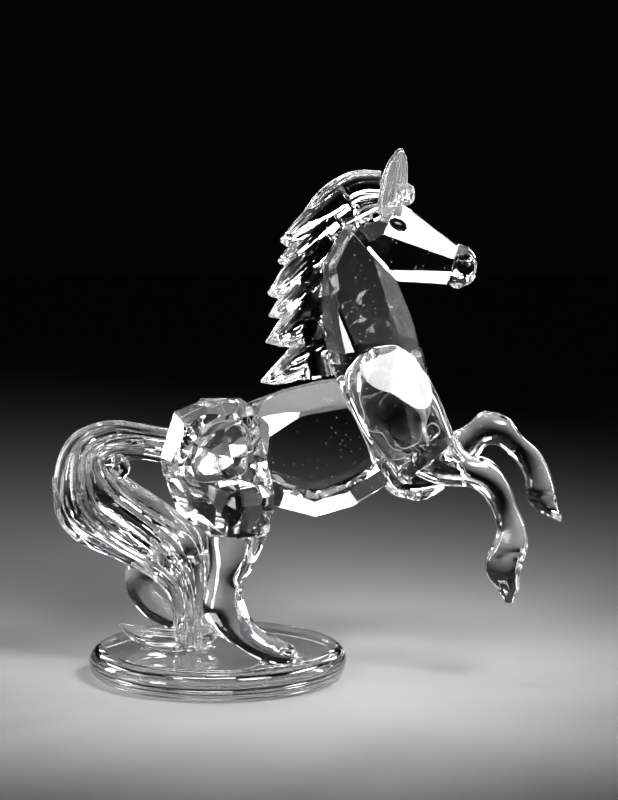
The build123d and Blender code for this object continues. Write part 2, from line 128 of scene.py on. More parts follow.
def specks(tree, spacing, radius, share):
    """Sparse round specks, 1 on a speck: spacing and radius in metres, share of the cells with one."""
    coords = tree.nodes.new("ShaderNodeTexCoord")
    cells = tree.nodes.new("ShaderNodeTexVoronoi")
    cells.inputs["Scale"].default_value = 1.0 / spacing
    tree.links.new(coords.outputs["Object"], cells.inputs["Vector"])
    split = tree.nodes.new("ShaderNodeSeparateColor")
    tree.links.new(cells.outputs["Color"], split.inputs["Color"])
    dot = ramp(tree, cells.outputs["Distance"], 0.6 * radius / spacing, radius / spacing, 1.0, 0.0)
    kept = ramp(tree, split.outputs["Red"], 1.0 - share, 1.0 - share + 0.01, 0.0, 1.0)
    both = tree.nodes.new("ShaderNodeMath")
    both.operation = "MULTIPLY"
    tree.links.new(dot, both.inputs[0])
    tree.links.new(kept, both.inputs[1])
    return both.outputs["Value"]


def glass(name, tint, rough_low, rough_high, wave_scale, wave_depth, dust=0.0, clear=1.0):
    """Clear crystal with faint surface waviness, faint smudges and a few specks of dust.

    rough_low and rough_high are the roughness between and in the smudges, wave_scale is per metre,
    wave_depth is in metres, dust is the share of places with a speck, and clear is the share of light that
    goes through.
    """
    material, tree, shader = new_material(name)
    shader.inputs["Base Color"].default_value = (*tint, 1.0)
    shader.inputs["Transmission Weight"].default_value = clear
    shader.inputs["IOR"].default_value = IOR
    roughness = ramp(tree, noise(tree, SMUDGE_SCALE, 4.0), *SMUDGE_EDGE, rough_low, rough_high)
    if dust:
        added = tree.nodes.new("ShaderNodeMath")
        added.operation = "MAXIMUM"
        tree.links.new(roughness, added.inputs[0])
        dots = specks(tree, DUST_SPACING, DUST_RADIUS, dust)
        grains = ramp(tree, dots, 0.0, 1.0, 0.0, DUST_ROUGHNESS)
        tree.links.new(grains, added.inputs[1])
        roughness = added.outputs["Value"]
    tree.links.new(roughness, shader.inputs["Roughness"])
    bump(tree, shader, noise(tree, wave_scale, 2.0), wave_depth)
    return material


cut = glass("cut_crystal", (0.985, 0.99, 0.995), 0.0, 0.02, 120.0, 0.00002, 0.35)
moulded = glass("moulded_crystal", (0.98, 0.985, 0.99), 0.005, 0.03, 300.0, 0.0001, 0.2)
pale = glass("pale_crystal", (0.99, 0.992, 0.995), 0.08, 0.2, 500.0, 0.00015, clear=0.94)
adhesive = glass("clear_adhesive", (0.98, 0.98, 0.97), 0.02, 0.12, 900.0, 0.00008)
bead_line = glass("adhesive_line", (1.0, 1.0, 0.99), 0.45, 0.7, 1500.0, 0.0001)

eye, _, eye_shader = new_material("black_glass")
eye_shader.inputs["Base Color"].default_value = (0.004, 0.004, 0.005, 1.0)
eye_shader.inputs["Roughness"].default_value = 0.06
eye_shader.inputs["Specular IOR Level"].default_value = 0.2
eye_shader.inputs["Coat Weight"].default_value = 0.05

slots = {}
for row in frame["record"]["subparts"]:
    slots[row["node"]] = row["material_slot"]
finish = {"cut_crystal": cut, "moulded_crystal": moulded, "clear_adhesive": adhesive, "black_glass": eye}
for name, node in nodes.items():
    node.data.materials.clear()
    node.data.materials.append(finish[slots[name]])


# ------------------------------------------------------------------ mesh tools
def spaced(stations, steps):
    """Smooth rows through the given stations, with extra rows between them."""
    rows = np.array(stations, float)
    spans = np.linalg.norm(np.diff(rows[:, :3], axis=0), axis=1)
    rates = np.diff(rows, axis=0) / spans[:, None]
    slopes = np.zeros_like(rows)
    slopes[0], slopes[-1] = rates[0], rates[-1]
    for k in range(1, len(rows) - 1):
        slopes[k] = (rates[k - 1] * spans[k] + rates[k] * spans[k - 1]) / (spans[k - 1] + spans[k])
    filled = []
    for k, span in enumerate(spans):
        for step in range(steps):
            t = step / steps
            filled.append(
                (2 * t ** 3 - 3 * t ** 2 + 1) * rows[k] + (t ** 3 - 2 * t ** 2 + t) * span * slopes[k]
                + (3 * t ** 2 - 2 * t ** 3) * rows[k + 1] + (t ** 3 - t ** 2) * span * slopes[k + 1]
            )
    filled.append(rows[-1])
    return np.array(filled)


def new_piece(name, points, faces):
    """Mesh object from points in millimetres, welded, with outward normals and smooth shading."""
    mesh = bpy.data.meshes.new(name)
    mesh.from_pydata([tuple(p) for p in np.asarray(points, float) * MM], [], faces)
    shell = bmesh.new()
    shell.from_mesh(mesh)
    bmesh.ops.remove_doubles(shell, verts=shell.verts, dist=1e-7)
    bmesh.ops.recalc_face_normals(shell, faces=shell.faces)
    shell.to_mesh(mesh)
    shell.free()
    mesh.shade_smooth()
    piece = bpy.data.objects.new(name, mesh)
    bpy.context.scene.collection.objects.link(piece)
    return piece


def ring_faces(rows, around, start=0):
    """Quads between rings, and a fan to one pole at each end; the poles come after the rings."""
    faces = []
    for i in range(rows - 1):
        for j in range(around):
            a, b = start + i * around + j, start + i * around + (j + 1) % around
            faces.append((a, b, b + around, a + around))
    first, last = start + rows * around, start + rows * around + 1
    end = start + (rows - 1) * around
    for j in range(around):
        faces.append((start + (j + 1) % around, start + j, first))
        faces.append((end + j, end + (j + 1) % around, last))
    return faces


def ring_body(name, rings):
    """Closed body through rings of points."""
    rings = np.array(rings)
    rows, around = rings.shape[:2]
    points = np.vstack([rings.reshape(-1, 3), rings[0].mean(0), rings[-1].mean(0)])
    return new_piece(name, points, ring_faces(rows, around))


def sweep(stations, steps, around, relief=None):
    """Rings of a leaning oval (x, y, z, half width, half depth, lean), less a relief in mm."""
    rows = spaced(stations, steps)
    rings = []
    turn = np.linspace(0.0, 2 * math.pi, 721)
    for i, (x, y, z, half_width, half_depth, lean) in enumerate(rows):
        rim = np.stack([half_width * np.cos(turn), half_depth * np.sin(turn)], 1)
        run = np.concatenate([[0.0], np.cumsum(np.linalg.norm(np.diff(rim, axis=0), axis=1))])
        share = np.arange(around) / around
        theta = np.interp(share, run / run[-1], turn)
        across, deep = half_width * np.cos(theta), half_depth * np.sin(theta)
        if relief is not None:
            nx, ny = np.cos(theta) * half_depth, np.sin(theta) * half_width
            size = np.hypot(nx, ny)
            taken = relief(share, i / steps, theta)
            across, deep = across - taken * nx / size, deep - taken * ny / size
        tilt = math.radians(lean)
        rings.append(np.stack([x + across * math.cos(tilt), y + deep, z + across * math.sin(tilt)], 1))
    return rings


def combine(piece, others, operation):
    """Union with, or cut by, the other bodies, which are used up."""
    for other in others:
        change = piece.modifiers.new("change", "BOOLEAN")
        change.operation = operation
        change.solver = "EXACT"
        change.object = other
        graph = bpy.context.evaluated_depsgraph_get()
        mesh = bpy.data.meshes.new_from_object(piece.evaluated_get(graph))
        piece.modifiers.clear()
        piece.data = mesh
        bpy.data.objects.remove(other)
    return piece


def swollen(source):
    """Copy of a body grown by the cutting gap, for cutting its neighbours."""
    shell = bmesh.new()
    shell.from_mesh(source.data)
    bmesh.ops.remove_doubles(shell, verts=shell.verts, dist=WELD)
    bmesh.ops.dissolve_limit(shell, angle_limit=FLAT, verts=shell.verts, edges=shell.edges)
    bmesh.ops.recalc_face_normals(shell, faces=shell.faces)
    moves = []
    for vert in shell.verts:
        normals = [face.normal for face in vert.link_faces]
        mean = sum(normals, Vector()).normalized()
        least = max(0.35, min(mean.dot(normal) for normal in normals))
        moves.append(mean * (CUT_GAP * MM / least))
    for vert, move in zip(shell.verts, moves):
        vert.co += move
    mesh = bpy.data.meshes.new("swollen")
    shell.to_mesh(mesh)
    shell.free()
    body = bpy.data.objects.new("swollen", mesh)
    bpy.context.scene.collection.objects.link(body)
    return body


def blob(name, centre, reach, rows=48, around=72):
    """Closed body round a centre; reach(directions) is its size in mm each way."""
    tilt = np.linspace(0.0, math.pi, rows + 2)
    spin = np.linspace(0.0, 2 * math.pi, around, endpoint=False)
    ways = []
    for t in tilt[1:-1]:
        ring = [np.sin(t) * np.cos(spin), np.full(around, np.cos(t)), np.sin(t) * np.sin(spin)]
        ways.append(np.stack(ring, 1))
    ways = np.vstack([np.vstack(ways), [[0.0, 1.0, 0.0]], [[0.0, -1.0, 0.0]]])
    points = np.array(centre) + ways * reach(ways)[:, None]
    return new_piece(name, points, ring_faces(rows, around))


def dent(near, width, depth):
    """Smooth dent: depth where near is 0, fading over width."""
    return depth * np.exp(-(near / width) ** 2)


# An island with fewer faces than this is a sliver
SLIVER_FACES = 20


def island_of(seed):
    """All faces joined to a face by edges."""
    island, front = {seed}, [seed]
    while front:
        for edge in front.pop().edges:
            for face in edge.link_faces:
                if face not in island:
                    island.add(face)
                    front.append(face)
    return island


def drop_slivers(piece):
    """Weld a cut mesh and take off the slivers that a cut leaves: tiny islands and doubled faces."""
    shell = bmesh.new()
    shell.from_mesh(piece.data)
    bmesh.ops.remove_doubles(shell, verts=shell.verts, dist=WELD)
    bmesh.ops.dissolve_degenerate(shell, edges=shell.edges, dist=1e-6)
    bmesh.ops.triangulate(shell, faces=[face for face in shell.faces if len(face.verts) > 4])
    seen, doubled = {}, set()
    for face in shell.faces:
        twin = seen.setdefault(frozenset(face.verts), face)
        if twin is not face:
            doubled |= {face, twin}
    bmesh.ops.delete(shell, geom=list(doubled), context="FACES")
    found, small = set(), []
    for seed in shell.faces:
        if seed not in found:
            island = island_of(seed)
            found |= island
            if len(island) < SLIVER_FACES:
                small += island
    bmesh.ops.delete(shell, geom=small, context="FACES")
    shell.to_mesh(piece.data)
    shell.free()


def settle(piece, slot, *stands_for, material=None):
    """Give a finished piece its material and hang it on the frame in place of its CAD solids."""
    piece.data.set_sharp_from_angle(angle=SHARP)
    piece.data.materials.clear()
    piece.data.materials.append(material or finish[slot])
    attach(piece, "root")
    if stands_for:
        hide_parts(*stands_for)


def below_base():
    """Block that reaches up to just above the adhesive on the base, for levelling feet."""
    corners = [(x, y, z) for x in (-40, 40) for y in (-30, 30) for z in (0, FOOT_LEVEL)]
    sides = [(0, 1, 3, 2), (4, 6, 7, 5), (0, 4, 5, 1), (2, 3, 7, 6), (0, 2, 6, 4), (1, 5, 7, 3)]
    return new_piece("block", corners, sides)


# ------------------------------------------------------------------ tail
def strand_relief(count, depth, drift, phase):
    """Rounded strands with sharp grooves between them, uneven in width."""
    def relief(share, k, theta):
        uneven = share + 0.016 * np.sin(2 * math.pi * (2 * share + 0.11 * k + phase))
        uneven += 0.009 * np.sin(2 * math.pi * (5 * share - 0.17 * k))
        crest = np.abs(np.sin(math.pi * count * (uneven + drift * k)))
        fine = 0.5 - 0.5 * np.cos(2 * math.pi * 3 * count * (uneven + drift * k))
        return depth(k) * (1.0 - crest ** 0.85 + 0.07 * fine)
    return relief


def tail_depth(k):
    """Groove depth along the tail: shallow at the root, deep in the fall."""
    return float(np.interp(k, [0, 1, 4, 8, 11, 14], [0.35, 0.6, 1.0, 1.15, 0.8, 0.5]))


# Stations of a leaning oval: x, y, z, half width, half depth, lean
TAIL = [
    (-7.15, 0.0, 53.4, 4.2, 3.6, 90.0), (-12.0, 0.0, 53.7, 4.2, 3.6, 88.0),
    (-18.0, 0.0, 54.6, 4.3, 3.8, 84.0), (-24.2, 0.0, 54.6, 5.2, 4.2, 104.0),
    (-28.8, -0.2, 52.0, 6.5, 4.6, 142.0), (-29.2, -0.5, 47.0, 8.5, 5.0, 176.0),
    (-27.6, -0.8, 41.8, 10.3, 5.2, 195.0), (-22.9, -1.2, 37.2, 11.1, 5.2, 201.0),
    (-17.5, -1.6, 33.4, 10.5, 5.0, 204.0), (-12.5, -2.0, 30.0, 9.2, 4.6, 206.0),
    (-9.0, -2.4, 26.0, 6.9, 4.2, 205.0), (-7.2, -2.8, 21.4, 5.0, 3.8, 199.0),
    (-6.7, -3.1, 16.3, 3.7, 3.4, 191.0), (-6.6, -3.4, 12.2, 3.8, 3.5, 185.0),
    (-6.6, -3.5, 7.2, 4.4, 3.8, 180.0),
]
TAIL_FOOT = [
    (-22.6, -3.5, 12.5, 0.4, 0.4, 60.0), (-20.0, -3.5, 10.9, 1.6, 1.5, 65.0),
    (-15.9, -3.5, 9.6, 2.3, 2.6, 78.0), (-10.5, -3.5, 9.3, 2.1, 3.0, 90.0),
    (-5.0, -3.5, 9.6, 2.3, 3.0, 95.0), (-1.2, -3.5, 10.6, 1.9, 2.0, 112.0),
    (0.3, -3.5, 11.4, 0.5, 0.5, 125.0),
]
TAIL_CURL = [
    (-28.4, -1.5, 49.6, 0.9, 0.9, 90.0), (-25.2, -2.2, 51.0, 1.5, 1.3, 100.0),
    (-22.4, -2.6, 50.6, 1.5, 1.3, 60.0), (-21.2, -2.8, 48.9, 1.3, 1.2, 10.0),
    (-22.0, -3.0, 47.4, 1.1, 1.0, -50.0), (-23.8, -3.0, 47.2, 0.7, 0.7, -110.0),
]
TAIL_WISP = [
    (-37.8, -2.4, 46.9, 0.2, 0.2, 185.0), (-37.0, -2.6, 43.0, 0.8, 0.9, 185.0),
    (-36.0, -2.6, 38.4, 1.2, 1.3, 205.0), (-32.4, -2.4, 33.6, 1.4, 1.4, 228.0),
    (-26.6, -2.2, 30.2, 1.3, 1.3, 245.0), (-20.6, -2.2, 27.6, 0.6, 0.6, 240.0),
]


def foot_depth(k):
    """Groove depth along the curved foot of the tail, which ends smooth at both tips."""
    return 0.28 * math.sin(math.pi * k / (len(TAIL_FOOT) - 1))


tail = ring_body("tail_strands", sweep(TAIL, 10, 208, strand_relief(13, tail_depth, 0.004, 0.1)))
foot = ring_body("foot", sweep(TAIL_FOOT, 9, 64, strand_relief(7, foot_depth, 0.0, 0.4)))
curl = ring_body("curl", sweep(TAIL_CURL, 8, 28))
wisp = ring_body("wisp", sweep(TAIL_WISP, 8, 28))
tail = combine(tail, [foot, curl, wisp], "UNION")
combine(tail, [below_base()], "DIFFERENCE")
drop_slivers(tail)
settle(tail, "moulded_crystal", "tail")

# ------------------------------------------------------------------ ears and forelock
NEAR_EAR = [
    (39.4, -3.4, 106.6, 2.5, 1.4, 0.0), (39.6, -3.5, 109.5, 3.0, 1.6, 0.0),
    (40.2, -3.8, 113.0, 3.1, 1.6, 2.0), (40.9, -4.2, 117.0, 2.6, 1.4, 4.0),
    (41.5, -4.5, 120.0, 1.7, 1.0, 6.0), (41.9, -4.6, 121.7, 0.6, 0.45, 6.0),
]


def ear_relief(share, k, theta):
    """Scooped face towards the front and the side, ribbed back."""
    fade = math.sin(math.pi * min(1.0, 0.12 + k / 5.6))
    scoop = np.exp(-((theta - math.radians(292.0)) / 0.55) ** 2)
    ribs = (1.0 - np.abs(np.sin(math.pi * 9 * share))) * 0.16
    return fade * (0.75 * scoop + ribs)


def cut_by(piece, *cutters):
    """Cut a piece by copies of other bodies, which are kept."""
    copies = []
    for cutter in cutters:
        copy = bpy.data.objects.new("cutter", cutter.data)
        bpy.context.scene.collection.objects.link(copy)
        copies.append(copy)
    return combine(piece, copies, "DIFFERENCE")


head_cut = swollen(nodes["head"])
ears = []
for side, name in ((1, "near_ear_leaf"), (-1, "far_ear_leaf")):
    rings = [ring * (1, side, 1) for ring in sweep(NEAR_EAR, 9, 72, ear_relief)]
    ears.append(cut_by(ring_body(name, rings), head_cut))
ear_cuts = [swollen(ear) for ear in ears]
for ear in ears:
    drop_slivers(ear)
    settle(ear, "moulded_crystal", ear.name.replace("_leaf", ""), material=pale)


def forelock_reach(ways):
    """Small curl of hair: a ball with a spiral groove."""
    swirl = np.arctan2(ways[:, 2], ways[:, 0]) + 2.2 * ways[:, 1]
    return 2.75 - 0.32 * (1.0 - np.abs(np.sin(1.5 * swirl))) - 0.35 * np.abs(ways[:, 1]) ** 3


forelock = blob("forelock_curl", (42.6, 0.0, 111.7), forelock_reach, 40, 64)
cut_by(forelock, head_cut, *ear_cuts)
settle(forelock, "moulded_crystal", "forelock", material=pale)

# ------------------------------------------------------------------ mane
MANE_HALF = 3.6
# Each lock: root, half width there, point on its upper edge, tip, point on its lower edge
LOCKS = [
    ((30.0, 110.5), 5.0, (18.2, 106.0), (14.4, 101.3), (16.5, 99.3)),
    ((27.5, 106.5), 4.2, (16.2, 99.5), (13.8, 96.5), (15.9, 95.2)),
    ((26.5, 101.5), 4.6, (15.0, 95.0), (11.5, 88.9), (14.3, 87.8)),
    ((25.5, 95.5), 4.4, (13.9, 87.8), (11.7, 83.8), (14.8, 83.2)),
    ((25.0, 90.5), 4.8, (14.2, 83.0), (10.9, 77.7), (16.4, 76.5)),
    ((25.5, 79.5), 5.4, (15.8, 75.7), (9.7, 68.6), (13.2, 67.7)),
]
CREST = [
    (37.4, 0.0, 112.9, 4.2, MANE_HALF, 90.0), (32.6, 0.0, 112.5, 4.9, MANE_HALF, 99.0),
    (27.0, 0.0, 108.5, 5.6, MANE_HALF, 120.0), (22.9, 0.0, 102.4, 5.2, MANE_HALF, 150.0),
    (21.0, 0.0, 95.5, 4.6, MANE_HALF, 170.0), (20.6, 0.0, 87.0, 4.3, MANE_HALF, 180.0),
    (21.6, 0.0, 78.0, 4.2, MANE_HALF, 188.0), (23.0, 0.0, 69.8, 4.4, MANE_HALF, 188.0),
]


def hair_relief(count, deep, reach, phase):
    """Fine hair ridges; reach gives their strength at stations along the lock."""
    def relief(share, k, theta):
        uneven = share + 0.012 * np.sin(2 * math.pi * (3 * share + phase + 0.2 * k))
        hair = 1.0 - np.abs(np.sin(math.pi * count * uneven)) ** 0.8
        broad = 0.5 - 0.5 * np.cos(2 * math.pi * (5 * uneven + phase))
        return float(np.interp(k, *reach)) * (deep * hair + 0.35 * broad)
    return relief


CREST_REACH = ([0, 2, 7], [0.9, 1.0, 0.2])
LOCK_REACH = ([0, 1, 3, 6, 7], [0.1, 0.4, 1.0, 0.7, 0.1])
mane = ring_body("mane_locks", sweep(CREST, 8, 112, hair_relief(18, 0.12, CREST_REACH, 0.2)))


def edge_curve(start, through, end, share):
    """Quadratic curve that passes through a point at the given share of its run."""
    start, through, end = (np.array(point, float) for point in (start, through, end))
    control = (through - (1 - share) ** 2 * start - share ** 2 * end) / (2 * share * (1 - share))
    return lambda t: (1 - t) ** 2 * start + 2 * t * (1 - t) * control + t ** 2 * end


def lock_stations(root, half, upper_point, tip, lower_point):
    """Stations of a lock between its two edge curves."""
    run = np.array(tip) - root
    run = run / np.linalg.norm(run)
    side = np.array((run[1], -run[0]))
    upper = edge_curve(root + half * side, upper_point, tip, 0.7)
    lower = edge_curve(root - half * side, lower_point, tip, 0.75)
    stations = []
    for t in (0.0, 0.2, 0.4, 0.58, 0.74, 0.86, 0.94, 0.985):
        high, low = upper(t), lower(t)
        centre, spread = (high + low) / 2, high - low
        width = np.linalg.norm(spread) / 2
        depth = 0.35 + (MANE_HALF - 0.25) * min(1.0, width / 3.4)
        lean = math.degrees(math.atan2(spread[1], spread[0]))
        stations.append((centre[0], 0.0, centre[1], width, depth, lean))
    return stations


locks = []
for number, lock in enumerate(LOCKS):
    hair = hair_relief(14, 0.32, LOCK_REACH, 0.17 * number)
    locks.append(ring_body("lock", sweep(lock_stations(*lock), 7, 96, hair)))
mane = combine(mane, locks, "UNION")
neck_cut, barrel_cut = swollen(nodes["neck"]), swollen(nodes["barrel"])
cut_by(mane, neck_cut, head_cut, barrel_cut, *ear_cuts)
drop_slivers(mane)
settle(mane, "moulded_crystal", "mane")
for body in ear_cuts + [neck_cut, barrel_cut, head_cut]:
    bpy.data.objects.remove(body)


# ------------------------------------------------------------------ muzzle and eyes
def clamp(reach, ways, centre, point, normal):
    """Flat face ground on a blob, beyond a plane."""
    normal = np.array(normal) / np.linalg.norm(normal)
    facing = ways @ normal
    limit = np.dot(np.array(point) - centre, normal)
    flat = np.where(facing > 1e-4, limit / np.maximum(facing, 1e-4), np.inf)
    return np.minimum(reach, flat)


MUZZLE = np.array((54.9, 0.0, 95.2))
MUZZLE_BALLS = (((54.7, 0.0, 95.7), 4.7), ((54.9, 0.0, 92.6), 2.5), ((56.2, 0.0, 93.7), 3.0))
HEAD_END = np.array((54.8, 0.0, 100.0))
HEAD_END_FACING = np.array((0.963, 0.0, -0.2687))


def muzzle_reach(ways):
    """Three balls run together, ground flat at the nostrils and at the head, with a mouth line."""
    reach = np.zeros(len(ways))
    for centre, radius in MUZZLE_BALLS:
        offset = np.array(centre) - MUZZLE
        along = ways @ offset
        inside = np.maximum(along ** 2 - offset @ offset + radius ** 2, 0.0)
        reach = np.maximum(reach, along + np.sqrt(inside))
    points = MUZZLE + ways * reach[:, None]
    front = points[:, 0] > 55.0
    reach -= front * dent(points[:, 2] - 93.3, 0.28, 0.30)
    for side in (-1, 1):
        reach = clamp(reach, ways, MUZZLE, (56.6, side * 3.4, 95.6), (0.35, side * 0.93, 0.0))
        points = MUZZLE + ways * reach[:, None]
        away = np.linalg.norm(points - np.array((57.6, side * 3.0, 96.6)), axis=1)
        reach -= dent(away, 0.75, 0.45)
    return clamp(reach, ways, MUZZLE, HEAD_END + FILM * HEAD_END_FACING, -HEAD_END_FACING)


muzzle = blob("muzzle_nose", MUZZLE, muzzle_reach, 72, 96)
settle(muzzle, "moulded_crystal", "muzzle")

EYE_HALF = (2.2, 1.35, 0.72)
EYE_LEAN = math.radians(-22.0)
EYE_SINK = 0.33


def eye_shape(axes):
    """Polished oval dome with a flat back, along its long, short and outward axes."""
    outward = np.array(axes[2])

    def reach(ways):
        """Size of the dome in each direction."""
        parts = [ways @ np.array(axis) for axis in axes]
        dome = 1.0 / np.sqrt(sum((part / half) ** 2 for part, half in zip(parts, EYE_HALF)))
        return clamp(dome, ways, np.zeros(3), outward * -0.02, -outward)
    return reach


for side, name in ((-1, "near_eye"), (1, "far_eye")):
    low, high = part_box(name)
    middle = (low + high) / 2 / MM
    outward = Vector((0.27, side * 0.89, 0.36)).normalized()
    long_way = Vector((math.cos(EYE_LEAN), 0.0, math.sin(EYE_LEAN)))
    long_way = (long_way - outward * long_way.dot(outward)).normalized()
    short_way = outward.cross(long_way)
    seat = middle - outward * EYE_SINK
    dome = blob(name + "_dome", seat, eye_shape((long_way, short_way, outward)), 48, 64)
    settle(dome, "black_glass", name)

# ------------------------------------------------------------------ legs
NEAR_HIND = [
    (4.7, -14.0, 35.46, 7.0, 3.7, 0.0), (3.6, -14.3, 29.0, 5.5, 4.0, 3.0),
    (1.9, -14.8, 23.5, 4.3, 3.7, 3.0), (1.7, -15.4, 19.5, 4.9, 3.8, 12.0),
    (3.6, -16.0, 15.9, 4.3, 3.5, 35.0), (6.9, -16.6, 12.7, 3.4, 3.2, 46.0),
    (10.6, -17.1, 10.4, 3.2, 3.2, 58.0), (14.0, -17.5, 9.0, 3.2, 3.6, 72.0),
    (17.2, -17.7, 8.3, 2.5, 3.4, 82.0), (19.2, -17.8, 7.9, 0.9, 1.6, 88.0),
]
FAR_HIND = [
    (-2.75, 14.0, 31.85, 7.0, 3.7, -24.0), (-8.6, 14.2, 28.6, 6.0, 4.0, -34.0),
    (-15.2, 14.6, 25.6, 4.6, 3.6, -34.0), (-18.8, 15.0, 21.2, 3.6, 3.4, -10.0),
    (-18.6, 15.3, 16.6, 3.2, 3.2, 12.0), (-15.9, 15.7, 13.0, 3.2, 3.1, 40.0),
    (-12.0, 16.0, 10.6, 3.0, 3.1, 56.0), (-8.6, 16.2, 9.1, 3.0, 3.5, 70.0),
    (-5.4, 16.3, 8.3, 2.4, 3.3, 82.0), (-3.5, 16.3, 7.9, 0.9, 1.5, 88.0),
]
NEAR_FORE = [
    (49.93, -13.2, 53.71, 6.7, 2.9, 43.0), (53.2, -13.0, 51.4, 5.2, 3.2, 62.0),
    (56.8, -12.8, 50.2, 3.8, 3.2, 86.0), (61.0, -12.4, 48.6, 4.0, 3.2, 73.0),
    (64.1, -12.0, 44.8, 3.5, 2.9, 53.0), (65.8, -11.8, 40.2, 2.9, 2.6, 35.0),
    (67.0, -11.6, 36.3, 3.3, 2.5, 8.0), (66.7, -11.4, 32.6, 4.1, 2.8, -1.0),
    (65.4, -11.2, 28.6, 4.4, 3.0, -3.0), (65.3, -11.1, 25.4, 3.8, 2.7, -4.0),
    (66.4, -11.0, 22.2, 2.5, 2.0, -3.0), (66.7, -11.0, 19.3, 0.9, 0.8, 0.0),
]
FAR_FORE = [
    (52.74, 13.2, 49.0, 5.2, 2.9, 90.0), (58.8, 12.8, 52.6, 4.1, 3.2, 108.0),
    (62.4, 12.4, 55.8, 4.1, 3.2, 92.0), (66.1, 12.0, 55.3, 3.6, 3.0, 70.0),
    (69.2, 11.7, 52.2, 2.7, 2.5, 50.0), (72.6, 11.4, 48.8, 2.9, 2.4, 28.0),
    (74.4, 11.2, 45.3, 3.1, 2.4, 5.0), (75.2, 11.1, 41.5, 3.4, 2.7, 0.0),
    (75.8, 11.0, 38.5, 3.5, 2.9, -6.0), (77.4, 11.0, 36.0, 3.0, 2.5, -15.0),
    (78.9, 11.0, 34.6, 1.3, 1.1, -25.0),
]


def leg_relief(hoof_line, last):
    """Hoof line, tendon grooves down both sides of the cannon, and the slight waviness of moulded glass."""
    def relief(share, k, theta):
        side = np.abs(np.sin(theta)) ** 6
        tendon = 0.30 * math.exp(-((k - 0.62 * hoof_line) / 1.1) ** 2) * side
        wave = 0.05 * np.sin(3 * theta + 1.7 * k) + 0.04 * np.sin(2.3 * k + 2 * theta)
        hoof = 0.10 * math.exp(-((k - hoof_line) / 0.13) ** 2)
        flat = 0.34 * min(1.0, max(0.0, (k - hoof_line) / 0.4)) * min(1.0, max(0.0, (last - k) / 0.8))
        flutes = flat * (0.5 - 0.5 * np.cos(5 * theta + 0.8))
        return tendon + hoof + flutes + wave * min(1.0, (last - k) * 1.5, 0.3 + k)
    return relief


# Each leg: name, CAD node, stations, and the station where the hoof begins
LEGS = (
    ("near_hind", "near_hind_leg", NEAR_HIND, 6.6), ("far_hind", "far_hind_leg", FAR_HIND, 6.6),
    ("near_fore", "near_foreleg", NEAR_FORE, 7.35), ("far_fore", "far_foreleg", FAR_FORE, 7.25),
)
for name, node, stations, hoof_line in LEGS:
    leg = ring_body(name + "_limb", sweep(stations, 14, 84, leg_relief(hoof_line, len(stations) - 1)))
    if "hind" in name:
        combine(leg, [below_base()], "DIFFERENCE")
    settle(leg, "moulded_crystal", node)


# ------------------------------------------------------------------ base
def bubbles(centres):
    """Small round cavities: points and faces of little balls turned inside out."""
    points, faces = [], []
    rows, around = 6, 10
    for x, y, z, radius in centres:
        start = len(points)
        for i in range(rows):
            tilt = math.pi * (i + 1) / (rows + 1)
            for j in range(around):
                spin = 2 * math.pi * j / around
                across = radius * math.sin(tilt)
                points.append((
                    x + across * math.cos(spin), y + across * math.sin(spin), z + radius * math.cos(tilt),
                ))
        points += [(x, y, z + radius), (x, y, z - radius)]
        faces += [face[::-1] for face in ring_faces(rows, around, start)]
    return points, faces


def with_bubbles(piece, centres):
    """Add cavities to the mesh of a solid piece, facing into the cavity."""
    points, faces = bubbles(centres)
    mesh = bpy.data.meshes.new("bubbles")
    mesh.from_pydata([tuple(p) for p in np.array(points) * MM], [], faces)
    shell = bmesh.new()
    shell.from_mesh(mesh)
    bmesh.ops.recalc_face_normals(shell, faces=shell.faces)
    bmesh.ops.reverse_faces(shell, faces=shell.faces)
    shell.from_mesh(piece.data)
    shell.to_mesh(piece.data)
    shell.free()
    piece.data.shade_smooth()


draw = random.Random(11)
BASE_AROUND = 192
# Bubbles in the base: how many, how far out, between which heights, and their radii (mm)
BUBBLES = 70
BUBBLE_REACH = 27.5
BUBBLE_HEIGHTS = (0.9, 6.0)
BUBBLE_RADII = (0.06, 0.22)
profile = [(r, 0.0) for r in np.linspace(0.5, BASE_RADIUS - RIM, 12, endpoint=False)]
for angle in np.radians(np.linspace(-90.0, 90.0, 33)):
    profile.append((BASE_RADIUS - RIM + RIM * math.cos(angle), BASE_TOP / 2 + RIM * math.sin(angle)))
profile += [(r, BASE_TOP) for r in np.linspace(BASE_RADIUS - RIM, 0.5, 13)[1:]]
spin = np.linspace(0.0, 2 * math.pi, BASE_AROUND, endpoint=False)
rings = []
for radius, height in profile:
    pull = 0.05 * max(0.0, radius - 26.0) / 4.0
    ripple = radius - pull * (1.2 + np.sin(3 * spin + 0.5) * 0.6 + np.sin(7 * spin) * 0.4)
    rings.append(np.stack([ripple * np.cos(spin), ripple * np.sin(spin), np.full(BASE_AROUND, height)], 1))
disc = ring_body("base_disc", rings)
seeds = []
for _ in range(BUBBLES):
    radius, angle = BUBBLE_REACH * math.sqrt(draw.random()), 2 * math.pi * draw.random()
    seeds.append((
        radius * math.cos(angle), radius * math.sin(angle),
        draw.uniform(*BUBBLE_HEIGHTS), draw.uniform(*BUBBLE_RADII),
    ))
with_bubbles(disc, seeds)
settle(disc, "cut_crystal", "base")


# ------------------------------------------------------------------ adhesive pads
def outline(count, seed, roughness):
    """Irregular round outline, as a share of the full radius."""
    own = random.Random(seed)
    turn = np.linspace(0.0, 2 * math.pi, count, endpoint=False)
    reach = np.ones(count)
    for wave in range(2, 9):
        reach += roughness / wave * own.uniform(-1, 1) * np.sin(wave * turn + own.uniform(0, 6.28))
    return turn, reach / reach.max()


PAD_MIDDLE = (PAD_LOW + PAD_HIGH) / 2
PAD_HALF = (PAD_HIGH - PAD_LOW) / 2
